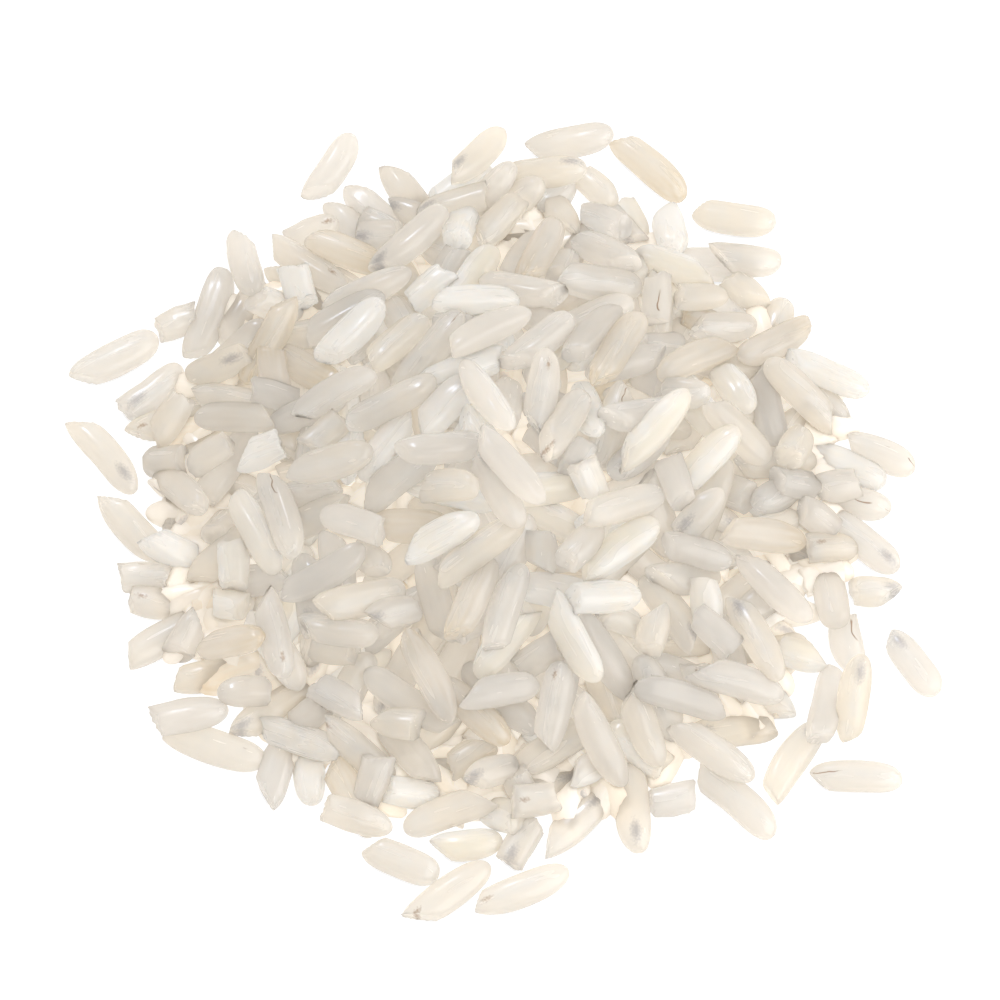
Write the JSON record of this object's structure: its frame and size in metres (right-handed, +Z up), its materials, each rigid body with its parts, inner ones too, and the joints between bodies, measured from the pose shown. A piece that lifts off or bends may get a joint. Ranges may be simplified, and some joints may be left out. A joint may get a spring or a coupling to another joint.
{
  "type": "heap of rice",
  "caption": "A loose low heap of raw long-grain white rice lying as poured on a flat surface, with an uneven edge and some grains scattered beside it",
  "frame": {"origin": "the middle of the whole in plan, on the flat surface that the rice lies on", "axes": "+Z up out of the surface, +X to the viewer's right and +Y away from the viewer, who looks down at the heap from the front"},
  "size_m": [0.0578, 0.0601, 0.0135],
  "materials": {
    "heaped_rice": "milky, slightly glossy raw rice grains with warm gaps between them",
    "stray_rice": "milky, slightly glossy raw rice grain"
  },
  "bodies": {
    "root": {"rice_heap": "heaped_rice", "stray_grain_1": "stray_rice", "stray_grain_2": "stray_rice", "stray_grain_3": "stray_rice", "stray_grain_4": "stray_rice", "stray_grain_5": "stray_rice", "stray_grain_6": "stray_rice", "stray_grain_7": "stray_rice", "stray_grain_8": "stray_rice"}
  },
  "joints": []
}
